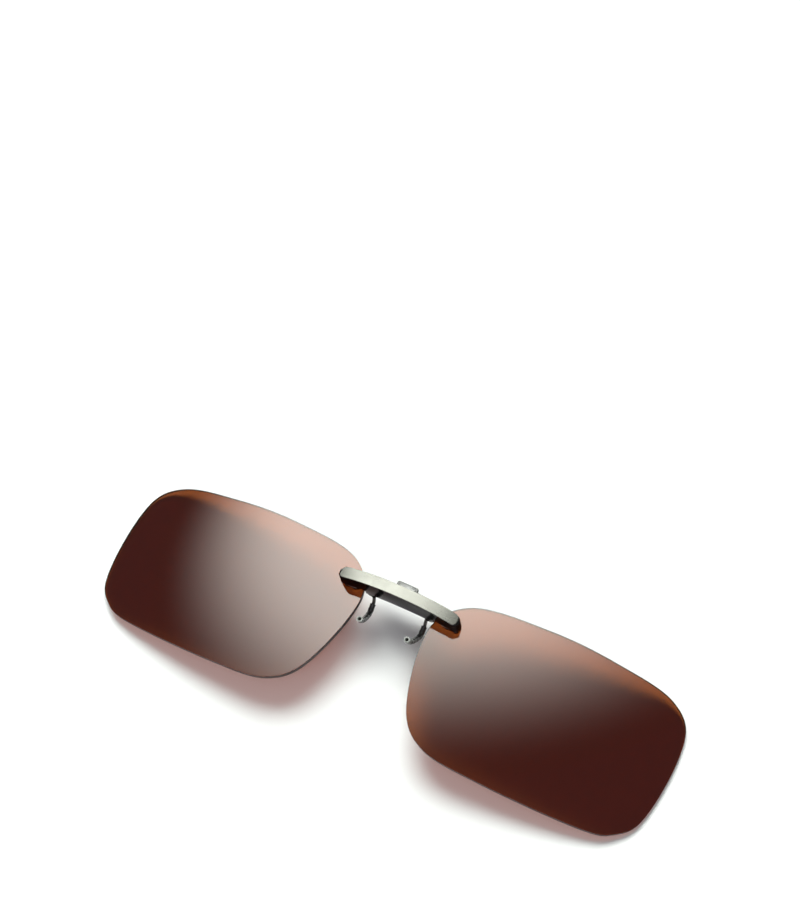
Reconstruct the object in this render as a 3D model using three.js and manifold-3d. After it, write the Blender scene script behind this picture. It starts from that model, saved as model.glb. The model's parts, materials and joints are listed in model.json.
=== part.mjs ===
// Clip-on flip lenses: two rimless tinted lenses on a slim arched bar that flips up on a
// hinge block, with a sprung pair of hooked claws that hold the bridge of a pair of spectacles.
// Millimetres. The clip lies on a table with its lens fronts up: +X to the right, +Y towards
// the brow edge of the lenses, +Z out of the lens fronts. The table is Z = 0.

import * as THREE from 'three';
import { mergeVertices } from 'three/addons/utils/BufferGeometryUtils.js';
import Module from 'manifold-3d';

// Lenses
const LENS_CENTRE_X = 37.6;
const LENS_CENTRE_Z = 6.1;
const LENS_THICKNESS = 1.0;
const LENS_CURVE_RADIUS = 400;
const WRAP = THREE.MathUtils.degToRad(8.7);
// Right lens seen from the front, from its centre: outer side is +X, brow side is +Y.
const LENS_OUTLINE = [
  [26.2, 11.2], [21.3, 15.8], [7.8, 17.7], [-7.5, 17.6], [-24.4, 14.5], [-29.6, 7.9],
  [-25.2, -12.2], [-19.4, -16.8], [-6.9, -17.9], [19.2, -16.2], [21.9, -14.9], [25.7, -10.8],
];
const OUTLINE_STEPS = 60;

// Bar
const BAR_HALF_LENGTH = 14.0;
const BAR_BOTTOM_Y = 8.0;
const BAR_TOP_Y = 10.6;
const BAR_REAR_Z = 8.6;
const BAR_FRONT_Z = 12.4;
const BAR_ARCH = 0.6;
const BAR_BOW = 1.2;
const BAR_CHAMFER = 0.35;
const BAR_STEPS = 17;
const DEEP_HALF_LENGTH = 7.8;
const PLATE_THICKNESS = 0.3;
const PLATE_HALF_LENGTH = 13.5;
const PLATE_EDGE = 0.1;
const PLATE_GAP = 0.05;

// Lens fixing, stacked along the normal of the lens at the clamp point
const CLAMP_X = 11.75;
const CLAMP_Y = 9.2;
const RIVET_SPACING = 1.9;
const RIVET_RADIUS = 0.4;
const RIVET_HEAD_RADIUS = 0.7;
const BUSHING_RADIUS = 0.65;
const GASKET_THICKNESS = 0.3;
const CLAMP_PLATE_THICKNESS = 0.6;
const STACK_GAP = 0.1;

// Flip hinge, at the bar's rear upper edge
const FLIP_Y = 11.9;
const FLIP_Z = 7.5;
const FLIP_AXLE_RADIUS = 0.5;
const BARREL_RADIUS = 0.95;
const BLOCK_HALF_WIDTH = 5.1;
const EAR_INNER_X = 5.45;
const EAR_OUTER_X = 6.5;
const AXLE_HEAD_THICKNESS = 0.4;

// Claw hinge, at the block's lower edge
const CLAW_Y = 9.9;
const CLAW_Z = 7.3;
const CLAW_AXLE_RADIUS = 0.45;
const HUB_RADIUS = 0.75;
const HUB_INNER_X = 7.1;
const HUB_OUTER_X = 8.4;
const WIRE_RADIUS = 0.36;
const SLEEVE_RADIUS = 0.6;

const RUNNING_CLEARANCE = 0.05;

const wasm = await Module();
wasm.setup();

function toSolid(geometry) {
  const bare = geometry.index ? geometry.toNonIndexed() : geometry.clone();
  bare.deleteAttribute('normal');
  bare.deleteAttribute('uv');
  const merged = mergeVertices(bare, 1e-5);
  return new wasm.Manifold(new wasm.Mesh({
    numProp: 3,
    vertProperties: new Float32Array(merged.attributes.position.array),
    triVerts: new Uint32Array(merged.index.array),
  }));
}

function toGeometry(solid) {
  const mesh = solid.getMesh();
  const geometry = new THREE.BufferGeometry();
  geometry.setAttribute('position', new THREE.BufferAttribute(mesh.vertProperties, 3));
  geometry.setIndex(new THREE.BufferAttribute(mesh.triVerts, 1));
  geometry.computeVertexNormals();
  return geometry;
}

function join(...geometries) {
  return toGeometry(geometries.map(toSolid).reduce((whole, piece) => whole.add(piece)));
}

function cut(geometry, ...tools) {
  return toGeometry(tools.map(toSolid).reduce((rest, tool) => rest.subtract(tool), toSolid(geometry)));
}

function common(a, b) {
  return toGeometry(toSolid(a).intersect(toSolid(b)));
}

function box(x0, x1, y0, y1, z0, z1) {
  const geometry = new THREE.BoxGeometry(x1 - x0, y1 - y0, z1 - z0);
  return geometry.translate((x0 + x1) / 2, (y0 + y1) / 2, (z0 + z1) / 2);
}

// A round bar along X, from x0 to x1, round the line at (y, z).
function rod(x0, x1, y, z, radius, sides = 16) {
  const geometry = new THREE.CylinderGeometry(radius, radius, x1 - x0, sides);
  return geometry.rotateZ(Math.PI / 2).translate((x0 + x1) / 2, y, z);
}

// A round bar along Z, from z0 to z1, round the line at (x, y).
function post(x, y, z0, z1, radius, sides = 12) {
  const geometry = new THREE.CylinderGeometry(radius, radius, z1 - z0, sides);
  return geometry.rotateX(Math.PI / 2).translate(x, y, (z0 + z1) / 2);
}

// Extrudes a section drawn in Y and Z along X, from x0 to x1.
function alongX(section, x0, x1, steps = 1) {
  const solid = new THREE.ExtrudeGeometry(section, {
    depth: x1 - x0,
    steps,
    bevelEnabled: false,
    curveSegments: 6,
  });
  const turn = new THREE.Matrix4().makeBasis(
    new THREE.Vector3(0, 1, 0),
    new THREE.Vector3(0, 0, 1),
    new THREE.Vector3(1, 0, 0),
  );
  return solid.applyMatrix4(turn).translate(x0, 0, 0);
}

function polygon(points) {
  return new THREE.Shape(points.map(([x, y]) => new THREE.Vector2(x, y)));
}

function circleShape(radius, sides) {
  const points = [];
  for (let i = 0; i < sides; i += 1) {
    const angle = (2 * Math.PI * i) / sides;
    points.push(new THREE.Vector2(radius * Math.cos(angle), radius * Math.sin(angle)));
  }
  return new THREE.Shape(points);
}

function tube(path, radius, sides, steps, boreRadius = 0) {
  const section = circleShape(radius, sides);
  if (boreRadius > 0) section.holes.push(new THREE.Path(circleShape(boreRadius, sides).getPoints()));
  return new THREE.ExtrudeGeometry(section, { steps, extrudePath: path, bevelEnabled: false });
}

function mirrored(geometry) {
  const flipped = geometry.index ? geometry.toNonIndexed() : geometry.clone();
  flipped.scale(-1, 1, 1);
  const position = flipped.attributes.position;
  for (let i = 0; i < position.count; i += 3) {
    for (const axis of ['X', 'Y', 'Z']) {
      const kept = position[`get${axis}`](i + 1);
      position[`set${axis}`](i + 1, position[`get${axis}`](i + 2));
      position[`set${axis}`](i + 2, kept);
    }
  }
  flipped.computeVertexNormals();
  return flipped;
}

function material(color, roughness, metalness, opacity = 1) {
  return new THREE.MeshStandardMaterial({ color, roughness, metalness, opacity, transparent: opacity < 1 });
}

const tint = material('#4a2014', 0.08, 0.0, 0.9);
const gunmetal = material('#3a3834', 0.35, 0.9);
const champagne = material('#c9bfa6', 0.25, 1.0);
const steel = material('#9a9a98', 0.3, 1.0);
const darkSteel = material('#2a2624', 0.35, 0.9);
const clearPlastic = material('#d8d4cc', 0.3, 0.0, 0.6);
const sleevePlastic = material('#3b2f2a', 0.3, 0.0, 0.8);

const clip = new THREE.Group();

function place(name, geometry, finish, parent = clip) {
  const mesh = new THREE.Mesh(geometry, finish);
  mesh.name = name;
  parent.add(mesh);
  return mesh;
}

// A piece that exists once on each side is modelled on the right and mirrored to the left.
function placePair(name, geometry, finish) {
  place(`right_${name}`, geometry, finish);
  place(`left_${name}`, mirrored(geometry), finish);
}

// Lens: a shell of two spheres, cut to the outline, wrapped and set in its place.
function lensShell() {
  const reach = 36;
  const rings = 5;
  const front = [];
  const back = [];
  for (let i = 0; i <= rings; i += 1) {
    const r = (reach * i) / rings;
    const sag = (r * r) / (2 * LENS_CURVE_RADIUS);
    front.push(new THREE.Vector2(r, -sag));
    back.unshift(new THREE.Vector2(r, -sag - LENS_THICKNESS));
  }
  const profile = [...back.reverse(), ...front.reverse()];
  return new THREE.LatheGeometry(profile, 32).rotateX(Math.PI / 2);
}

function lensOutline() {
  const corners = LENS_OUTLINE.map(([x, y]) => new THREE.Vector3(x, y, 0));
  const curve = new THREE.CatmullRomCurve3(corners, true, 'centripetal');
  const points = curve.getSpacedPoints(OUTLINE_STEPS).slice(0, OUTLINE_STEPS);
  return new THREE.Shape(points.map((p) => new THREE.Vector2(p.x, p.y)));
}

function lensPose() {
  const pose = new THREE.Object3D();
  pose.position.set(LENS_CENTRE_X, 0, LENS_CENTRE_Z);
  pose.rotation.y = WRAP;
  pose.updateMatrix();
  return pose.matrix;
}

// The clamp frame has its origin on the lens front at the clamp point, Z along the lens normal.
function clampPose() {
  const x = CLAMP_X - LENS_CENTRE_X;
  const sag = (x * x + CLAMP_Y * CLAMP_Y) / (2 * LENS_CURVE_RADIUS);
  const onLens = new THREE.Vector3(x, CLAMP_Y, -sag).applyMatrix4(lensPose());
  const pose = new THREE.Object3D();
  pose.position.copy(onLens);
  pose.rotation.y = WRAP + Math.asin(x / LENS_CURVE_RADIUS);
  pose.updateMatrix();
  return pose.matrix;
}

const rivetPlaces = { inner: -RIVET_SPACING / 2, outer: RIVET_SPACING / 2 };

function onClamp(geometry) {
  return geometry.applyMatrix4(clampPose());
}

function rivetHoles(radius) {
  return Object.values(rivetPlaces).map((x) => onClamp(post(x, 0, -3, 3.2, radius)));
}

function lens() {
  const blank = new THREE.ExtrudeGeometry(lensOutline(), { depth: 12, bevelEnabled: false });
  blank.translate(0, 0, -8);
  const body = common(lensShell(), blank).applyMatrix4(lensPose());
  return cut(body, ...rivetHoles(BUSHING_RADIUS + STACK_GAP));
}

function bushing(x) {
  return onClamp(cut(
    post(x, 0, -LENS_THICKNESS + STACK_GAP, -STACK_GAP, BUSHING_RADIUS),
    post(x, 0, -2, 1, RIVET_RADIUS + STACK_GAP),
  ));
}

const STACK_LEFT = -2.2;
const STACK_RIGHT = 1.7;
const STACK_BOTTOM = -0.95;
const STACK_TOP = 0.95;

function stackPlate(z0, z1, bottomY, topY, holeRadius) {
  const corner = 0.6;
  const plate = new THREE.Shape();
  plate.moveTo(STACK_LEFT + corner, bottomY);
  plate.lineTo(STACK_RIGHT - corner, bottomY);
  plate.absarc(STACK_RIGHT - corner, bottomY + corner, corner, -Math.PI / 2, 0);
  plate.lineTo(STACK_RIGHT, topY - corner);
  plate.absarc(STACK_RIGHT - corner, topY - corner, corner, 0, Math.PI / 2);
  plate.lineTo(STACK_LEFT + corner, topY);
  plate.absarc(STACK_LEFT + corner, topY - corner, corner, Math.PI / 2, Math.PI);
  plate.lineTo(STACK_LEFT, bottomY + corner);
  plate.absarc(STACK_LEFT + corner, bottomY + corner, corner, Math.PI, Math.PI * 1.5);
  const solid = new THREE.ExtrudeGeometry(plate, { depth: z1 - z0, bevelEnabled: false, curveSegments: 4 });
  solid.translate(0, 0, z0);
  return cut(solid, ...Object.values(rivetPlaces).map((x) => post(x, 0, z0 - 1, z1 + 1, holeRadius)));
}

const GASKET_BASE = STACK_GAP;
const GASKET_FACE = GASKET_BASE + GASKET_THICKNESS;
const CLAMP_FACE = -LENS_THICKNESS - STACK_GAP;
const CLAMP_BACK = CLAMP_FACE - CLAMP_PLATE_THICKNESS;

function gasket() {
  return onClamp(stackPlate(GASKET_BASE, GASKET_FACE, STACK_BOTTOM, STACK_TOP, RIVET_RADIUS + STACK_GAP));
}

function clampPlate() {
  return onClamp(stackPlate(CLAMP_BACK, CLAMP_FACE, STACK_BOTTOM - 0.2, STACK_TOP + 0.4, RIVET_RADIUS + STACK_GAP));
}

function rivet(x) {
  const headFace = CLAMP_BACK - STACK_GAP;
  return onClamp(join(
    post(x, 0, headFace - 0.1, 2.2, RIVET_RADIUS),
    post(x, 0, headFace - 0.4, headFace, RIVET_HEAD_RADIUS),
  ));
}

// Bar: an extruded section bent up in the middle and bowed towards the front.
function bendBar(geometry, halfLength) {
  const position = geometry.attributes.position;
  const depth = BAR_FRONT_Z - BAR_REAR_Z;
  const middleY = (BAR_BOTTOM_Y + BAR_TOP_Y) / 2;
  for (let i = 0; i < position.count; i += 1) {
    const along = position.getX(i) / halfLength;
    const x = halfLength * Math.sin((along * Math.PI) / 2) * 0.25 + halfLength * along * 0.75;
    const rise = 1 - (x / BAR_HALF_LENGTH) ** 2;
    const endTaper = Math.sqrt(1 - 0.55 * Math.max(0, Math.abs(x) / BAR_HALF_LENGTH - 0.88) / 0.12);
    const y = middleY + (position.getY(i) - middleY) * endTaper + BAR_ARCH * rise;
    const z = position.getZ(i) + (BAR_BOW * rise * (position.getZ(i) - BAR_REAR_Z)) / depth;
    position.setXYZ(i, x, y, z);
  }
  geometry.computeVertexNormals();
  return geometry;
}

function chamferedSection(y0, y1, z0, z1, chamfer) {
  return polygon([
    [y0, z0], [y1, z0], [y1, z1 - chamfer], [y1 - chamfer, z1], [y0 + chamfer, z1], [y0, z1 - chamfer],
  ]);
}

function alongBar(section, halfLength) {
  return alongX(section, -halfLength, halfLength, BAR_STEPS);
}

function bar() {
  const section = chamferedSection(BAR_BOTTOM_Y, BAR_TOP_Y, BAR_REAR_Z, BAR_FRONT_Z, BAR_CHAMFER);
  const beam = bendBar(alongBar(section, BAR_HALF_LENGTH), BAR_HALF_LENGTH);
  const seat = onClamp(box(-20, 8, -12, 12, -8, GASKET_FACE + STACK_GAP));
  const rightSeat = common(seat, box(DEEP_HALF_LENGTH, 30, 0, 30, 0, 20));
  const holes = rivetHoles(RIVET_RADIUS + STACK_GAP).map((hole) => common(hole, box(0, 30, 0, 30, 0, 11.6)));
  const arm = polygon([
    [FLIP_Y - 0.9, FLIP_Z + 0.1], [FLIP_Y, FLIP_Z], [FLIP_Y + 0.6, FLIP_Z + 0.7],
    [BAR_TOP_Y + 0.4, BAR_REAR_Z + 0.6], [BAR_TOP_Y - 0.7, BAR_REAR_Z + 0.6], [BAR_TOP_Y - 0.7, BAR_REAR_Z - 0.25],
    [FLIP_Y - 0.9, BAR_REAR_Z - 0.3],
  ].reverse());
  const ear = join(
    rod(EAR_INNER_X, EAR_OUTER_X, FLIP_Y, FLIP_Z, BARREL_RADIUS),
    alongX(arm, EAR_INNER_X, EAR_OUTER_X),
  );
  const earBore = rod(EAR_INNER_X - 1, EAR_OUTER_X + 1, FLIP_Y, FLIP_Z, FLIP_AXLE_RADIUS + RUNNING_CLEARANCE);
  const cutEar = cut(ear, earBore);
  const leftTools = [rightSeat, ...holes].map(mirrored);
  const trimmed = cut(beam, rightSeat, ...holes, ...leftTools);
  return join(trimmed, cutEar, mirrored(cutEar));
}

function facePlate() {
  const bottom = BAR_BOTTOM_Y + PLATE_EDGE;
  const top = BAR_TOP_Y - PLATE_EDGE;
  const base = BAR_FRONT_Z + PLATE_GAP;
  const section = chamferedSection(bottom, top, base, base + PLATE_THICKNESS, 0.1);
  return bendBar(alongBar(section, PLATE_HALF_LENGTH), PLATE_HALF_LENGTH);
}

const TAB_HALF_WIDTH = 2.4;
const TAB_BASE_Y = BAR_TOP_Y + BAR_ARCH + 0.05;
const TAB_TOP_Y = 13.0;
const TAB_REAR_Z = 9.8;
const TAB_CORNER = 0.5;
const TAB_FRONT_Z = 10.6;

function flipTab() {
  const outline = new THREE.Shape();
  const corner = TAB_CORNER;
  outline.moveTo(-TAB_HALF_WIDTH, TAB_BASE_Y);
  outline.lineTo(TAB_HALF_WIDTH, TAB_BASE_Y);
  outline.lineTo(TAB_HALF_WIDTH, TAB_TOP_Y - corner);
  outline.absarc(TAB_HALF_WIDTH - corner, TAB_TOP_Y - corner, corner, 0, Math.PI / 2);
  outline.lineTo(-TAB_HALF_WIDTH + corner, TAB_TOP_Y);
  outline.absarc(-TAB_HALF_WIDTH + corner, TAB_TOP_Y - corner, corner, Math.PI / 2, Math.PI);
  const solid = new THREE.ExtrudeGeometry(outline, {
    depth: TAB_FRONT_Z - TAB_REAR_Z,
    bevelEnabled: false,
    curveSegments: 4,
  });
  return solid.translate(0, 0, TAB_REAR_Z);
}

// Flip axle with a head at each end, the cam that it carries and the washers beside the block.
const CAM_HALF_WIDTH = 1.4;
const CAM_RADIUS = 0.85;
const CAM_POCKET = 1.7;

function flipAxle() {
  const end = EAR_OUTER_X + 0.05;
  return join(
    rod(-end - 0.1, end + 0.1, FLIP_Y, FLIP_Z, FLIP_AXLE_RADIUS),
    rod(end, end + AXLE_HEAD_THICKNESS, FLIP_Y, FLIP_Z, 0.75),
    rod(-end - AXLE_HEAD_THICKNESS, -end, FLIP_Y, FLIP_Z, 0.75),
  );
}

function detentCam() {
  const flats = rod(-CAM_HALF_WIDTH, CAM_HALF_WIDTH, FLIP_Y, FLIP_Z, CAM_RADIUS, 4);
  return cut(flats, rod(-2, 2, FLIP_Y, FLIP_Z, FLIP_AXLE_RADIUS + 0.02));
}

function frictionWasher() {
  const gap = 0.08;
  const inner = BLOCK_HALF_WIDTH + 0.1 + gap;
  const outer = EAR_INNER_X - gap;
  return cut(
    rod(inner, outer, FLIP_Y, FLIP_Z, BARREL_RADIUS),
    rod(inner - 1, outer + 1, FLIP_Y, FLIP_Z, FLIP_AXLE_RADIUS + RUNNING_CLEARANCE),
  );
}

// Hinge block: two barrels joined by a body, with a pocket for the cam and its leaf spring.
const BLOCK_BOTTOM_Y = 10.3;
const BLOCK_TOP_Y = 12.4;
const BLOCK_REAR_Z = 5.4;
const COVER_THICKNESS = 0.4;
const COVER_GAP = 0.05;
const SCREW_X = 3.4;
const SCREW_Y = 11.35;
const SCREW_HOLE_RADIUS = 0.35;
const SCREW_SINK = 0.12;
const SCREW_SINK_RADIUS = 0.65;
const SCREW_HEAD_RADIUS = 0.6;
const SCREW_SHANK_RADIUS = 0.28;
const SCREW_SLOT_HALF = 0.09;
const SCREW_SLOT_DEPTH = 0.12;

function hingeBlock() {
  const half = BLOCK_HALF_WIDTH;
  const whole = join(
    box(-half, half, BLOCK_BOTTOM_Y, BLOCK_TOP_Y, BLOCK_REAR_Z, FLIP_Z),
    rod(-half - 0.1, half + 0.1, FLIP_Y, FLIP_Z, BARREL_RADIUS),
    rod(-half, half, CLAW_Y, CLAW_Z, HUB_RADIUS),
  );
  const screwHoles = [-SCREW_X, SCREW_X].map((x) => post(x, SCREW_Y, BLOCK_REAR_Z - 1, BLOCK_REAR_Z + 0.9, SCREW_HOLE_RADIUS));
  return cut(
    whole,
    rod(-9, 9, FLIP_Y, FLIP_Z, FLIP_AXLE_RADIUS + RUNNING_CLEARANCE),
    rod(-9, 9, CLAW_Y, CLAW_Z, CLAW_AXLE_RADIUS + RUNNING_CLEARANCE),
    box(-CAM_POCKET, CAM_POCKET, FLIP_Y - 1.05, 14, BLOCK_REAR_Z + 0.5, 9),
    ...screwHoles,
  );
}

function detentSpring() {
  const half = 1.3;
  const base = BLOCK_REAR_Z + 0.6;
  const crown = 0.25;
  const thickness = 0.15;
  const leaf = new THREE.Shape();
  leaf.moveTo(FLIP_Y - 0.95, base);
  leaf.quadraticCurveTo(FLIP_Y, base + 2 * crown, FLIP_Y + 0.9, base);
  leaf.lineTo(FLIP_Y + 0.9, base + thickness);
  leaf.quadraticCurveTo(FLIP_Y, base + thickness + 2 * crown, FLIP_Y - 0.95, base + thickness);
  return alongX(leaf, -half, half);
}

function blockCover() {
  const half = BLOCK_HALF_WIDTH - 0.3;
  const face = BLOCK_REAR_Z - COVER_GAP;
  const plate = box(-half, half, BLOCK_BOTTOM_Y + 0.15, BLOCK_TOP_Y - 0.15, face - COVER_THICKNESS, face);
  const holes = [-SCREW_X, SCREW_X].map((x) => post(x, SCREW_Y, face - 1, face + 1, SCREW_HOLE_RADIUS));
  const sinks = [-SCREW_X, SCREW_X].map((x) => post(x, SCREW_Y, face - 1, face - SCREW_SINK, SCREW_SINK_RADIUS));
  return cut(plate, ...holes, ...sinks);
}

function coverScrew() {
  const seat = BLOCK_REAR_Z - COVER_GAP - SCREW_SINK - 0.03;
  const headFace = BLOCK_REAR_Z - COVER_GAP - COVER_THICKNESS + 0.01;
  const slotFloor = headFace + SCREW_SLOT_DEPTH;
  const slotY = [SCREW_Y - SCREW_SLOT_HALF, SCREW_Y + SCREW_SLOT_HALF];
  return cut(
    join(
      post(SCREW_X, SCREW_Y, seat - 0.1, BLOCK_REAR_Z + 0.8, SCREW_SHANK_RADIUS),
      post(SCREW_X, SCREW_Y, headFace, seat, SCREW_HEAD_RADIUS),
    ),
    box(SCREW_X - 1, SCREW_X + 1, ...slotY, headFace - 0.5, slotFloor),
  );
}

// Claw axle, held in the block, with a head at each end.
function clawAxle() {
  const end = HUB_OUTER_X + 0.08;
  return join(
    rod(-end - 0.1, end + 0.1, CLAW_Y, CLAW_Z, CLAW_AXLE_RADIUS),
    rod(end, end + 0.35, CLAW_Y, CLAW_Z, 0.6),
    rod(-end - 0.35, -end, CLAW_Y, CLAW_Z, 0.6),
  );
}

// Claw wire: out of the hub, inward behind the bar, down and back, then curled forwards.
const STEM_TOP = new THREE.Vector3(6.05, 7.85, 6.5);
const STEM_END = new THREE.Vector3(6.03, 6.1, 5.75);
const CURL_START_PULL = new THREE.Vector3(5.98, 4.9, 5.5);
const CURL_END_PULL = new THREE.Vector3(5.6, 1.95, 8.7);
const CLAW_TIP = new THREE.Vector3(5.52, 1.97, 11.2);

function clawHook() {
  const hook = new THREE.CurvePath();
  hook.add(new THREE.LineCurve3(STEM_TOP, STEM_END));
  hook.add(new THREE.CubicBezierCurve3(STEM_END, CURL_START_PULL, CURL_END_PULL, CLAW_TIP));
  return hook;
}

function clawShoulder() {
  const points = [
    [7.65, 9.3, 7.8], [7.55, 9.05, 8.0], [7.2, 8.9, 8.08], [6.6, 8.85, 8.08], [6.2, 8.72, 7.85],
    [6.07, 8.4, 7.25], [6.05, 7.95, 6.62], [6.05, 7.5, 6.35],
  ];
  return new THREE.CatmullRomCurve3(points.map((p) => new THREE.Vector3(...p)));
}

function claw() {
  const hub = rod(HUB_INNER_X, HUB_OUTER_X, CLAW_Y, CLAW_Z, HUB_RADIUS);
  const whole = join(
    hub,
    tube(clawShoulder(), WIRE_RADIUS + 0.02, 8, 12),
    tube(clawHook(), WIRE_RADIUS, 8, 16),
  );
  return cut(whole, rod(HUB_INNER_X - 1, HUB_OUTER_X + 1, CLAW_Y, CLAW_Z, CLAW_AXLE_RADIUS + RUNNING_CLEARANCE));
}

class LaterPart extends THREE.Curve {
  constructor(whole, start, reach) {
    super();
    this.whole = whole;
    this.start = start;
    this.reach = reach;
  }

  getPoint(t, target = new THREE.Vector3()) {
    const along = this.start + (this.reach - this.start) * t;
    if (along > 1) {
      const tangent = this.whole.getTangentAt(1);
      return target.copy(this.whole.getPointAt(1)).addScaledVector(tangent, (along - 1) * this.whole.getLength());
    }
    return target.copy(this.whole.getPointAt(along));
  }
}

function clawSleeve() {
  return tube(new LaterPart(clawHook(), 0.12, 1.03), SLEEVE_RADIUS, 8, 16, WIRE_RADIUS + 0.08);
}

// Release lever: an arm from each hub and a press plate across the back of the block.
const LEVER_PLATE_Y = 12.9;
const LEVER_PLATE_THICKNESS = 0.4;
const LEVER_REAR_Z = 4.6;
const LEVER_FRONT_Z = 5.8;

function releaseLever() {
  const top = LEVER_PLATE_Y + LEVER_PLATE_THICKNESS;
  const arm = polygon([
    [CLAW_Y + HUB_RADIUS + 0.1, CLAW_Z - 0.5], [CLAW_Y + HUB_RADIUS + 0.1, CLAW_Z + 0.3], [11.6, CLAW_Z],
    [top, LEVER_FRONT_Z], [top, LEVER_REAR_Z], [12.4, LEVER_REAR_Z],
  ].reverse());
  const rightArm = alongX(arm, HUB_INNER_X + 0.05, HUB_OUTER_X - 0.05);
  const plate = box(-HUB_OUTER_X + 0.1, HUB_OUTER_X - 0.1, LEVER_PLATE_Y, top, LEVER_REAR_Z, LEVER_FRONT_Z);
  return join(plate, rightArm, mirrored(rightArm));
}

// Torsion spring: a close coil on the claw axle between the block and the hub.
class CoilCurve extends THREE.Curve {
  getPoint(t, target = new THREE.Vector3()) {
    const turns = 3.5;
    const coilRadius = 0.72;
    const startX = BLOCK_HALF_WIDTH + 0.35;
    const endX = HUB_INNER_X - 0.35;
    const angle = 2 * Math.PI * turns * t;
    return target.set(
      startX + (endX - startX) * t,
      CLAW_Y + coilRadius * Math.cos(angle),
      CLAW_Z + coilRadius * Math.sin(angle),
    );
  }
}

function torsionSpring() {
  return tube(new CoilCurve(), 0.14, 6, 35);
}

placePair('lens', lens(), tint);
for (const [side, x] of Object.entries(rivetPlaces)) {
  placePair(`${side}_bushing`, bushing(x), clearPlastic);
  placePair(`${side}_rivet`, rivet(x), steel);
}
placePair('lens_gasket', gasket(), clearPlastic);
placePair('clamp_plate', clampPlate(), gunmetal);
place('bridge_bar', bar(), gunmetal);
place('bridge_face_plate', facePlate(), champagne);
place('flip_tab', flipTab(), champagne);
place('flip_axle', flipAxle(), steel);
place('detent_cam', detentCam(), steel);
placePair('friction_washer', frictionWasher(), steel);
place('hinge_block', hingeBlock(), gunmetal);
place('detent_spring', detentSpring(), steel);
place('block_cover', blockCover(), gunmetal);
placePair('cover_screw', coverScrew(), steel);
place('claw_axle', clawAxle(), steel);
placePair('claw', claw(), darkSteel);
placePair('claw_sleeve', clawSleeve(), sleevePlastic);
place('release_lever', releaseLever(), darkSteel);
placePair('torsion_spring', torsionSpring(), steel);

export default clip;
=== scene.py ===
"""Clip-on flip lenses: the looks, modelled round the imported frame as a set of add-on operators."""

import json
import math

import bpy
from mathutils import Matrix, Vector


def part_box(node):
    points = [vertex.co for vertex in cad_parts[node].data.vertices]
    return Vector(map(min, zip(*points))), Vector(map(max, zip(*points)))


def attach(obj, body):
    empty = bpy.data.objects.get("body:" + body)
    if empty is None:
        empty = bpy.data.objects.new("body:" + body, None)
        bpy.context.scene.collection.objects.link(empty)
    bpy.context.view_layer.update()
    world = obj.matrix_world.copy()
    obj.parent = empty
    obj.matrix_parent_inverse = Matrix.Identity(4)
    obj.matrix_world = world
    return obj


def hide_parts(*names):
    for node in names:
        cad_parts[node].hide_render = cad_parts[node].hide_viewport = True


bl_info = {
    "name": "Clip-on Flip Lenses",
    "version": (1, 0, 0),
    "blender": (4, 5, 0),
    "location": "3D View > Sidebar > Flip Lenses",
    "description": "Builds the pieces, finishes and stage of a pair of clip-on flip lenses",
    "category": "Object",
}

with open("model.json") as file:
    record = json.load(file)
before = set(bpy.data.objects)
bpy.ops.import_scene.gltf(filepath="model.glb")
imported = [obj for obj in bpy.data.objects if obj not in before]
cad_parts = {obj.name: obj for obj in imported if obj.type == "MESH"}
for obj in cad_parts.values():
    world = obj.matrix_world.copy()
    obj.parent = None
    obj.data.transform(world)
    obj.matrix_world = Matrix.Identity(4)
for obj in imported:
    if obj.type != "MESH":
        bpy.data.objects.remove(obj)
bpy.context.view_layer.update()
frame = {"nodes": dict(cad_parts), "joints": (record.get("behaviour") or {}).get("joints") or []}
NODES = frame["nodes"]
JOINTS = {joint["name"]: joint for joint in frame["joints"]}

MM = 0.001
SIDES = {"right": 1, "left": -1}

# Right lens from its centre, outer side +X and brow side +Y, in millimetres.
LENS_OUTLINE = [
    (26.2, 11.2), (21.3, 15.8), (7.8, 17.7), (-7.5, 17.6), (-24.4, 14.5), (-29.6, 7.9),
    (-25.2, -12.2), (-19.4, -16.8), (-6.9, -17.9), (19.2, -16.2), (21.9, -14.9), (25.7, -10.8),
]
LENS_CENTRE = Vector((37.6, 0.0, 6.1)) * MM
LENS_POINTS = 144
LENS_RINGS = 14
LENS_BEVEL = 0.12 * MM
CLAMP_POINT = Vector((11.75, 9.2, 0.0)) * MM

BAR_HALF = 14.0 * MM
BAR_BOTTOM = 8.0 * MM
BAR_TOP = 10.6 * MM
BAR_REAR = 8.6 * MM
BAR_FRONT = 12.4 * MM

# All sizes from here to the modelling helpers are in millimetres.
BAR_DEEP_HALF = 7.8
BAR_END_CORNER = 0.9
BAR_STATIONS = 40
EAR_INNER = 5.45
EAR_OUTER = 6.5
EAR_RADIUS = 0.95

FACE_GAP = 0.02
FACE_INSET = 0.45
FACE_CORNER = 0.7
FACE_THICKNESS = 0.37
FACE_EDGE = 0.07

TAB_RISE = 0.25
TAB_ROOT = 0.3
TAB_CORNER = 0.35
TAB_RIM = 0.55
TAB_TOP_RIM = 0.12
TAB_NOTCH = 0.1

# Lens fixings, from the clamp point: sideways and up on the lens, and out from its front.
FIXING_INNER = -2.2
FIXING_OUTER = 1.7
CLAMP_LOW = -0.62
CLAMP_HIGH = 1.35
CLAMP_CORNER = 0.6
CLAMP_REAR = -1.7
CLAMP_FRONT = -1.1
GASKET_HALF = 0.95
GASKET_CORNER = 0.5
GASKET_REAR = 0.1
GASKET_FRONT = 0.4
RIVET_OFFSET = 0.95
RIVET_REAR = -2.2
RIVET_COLLAR = -1.8
RIVET_SHANK = 0.4
RIVET_HEAD = 0.7
RIVET_FRONT = 2.1

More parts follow.
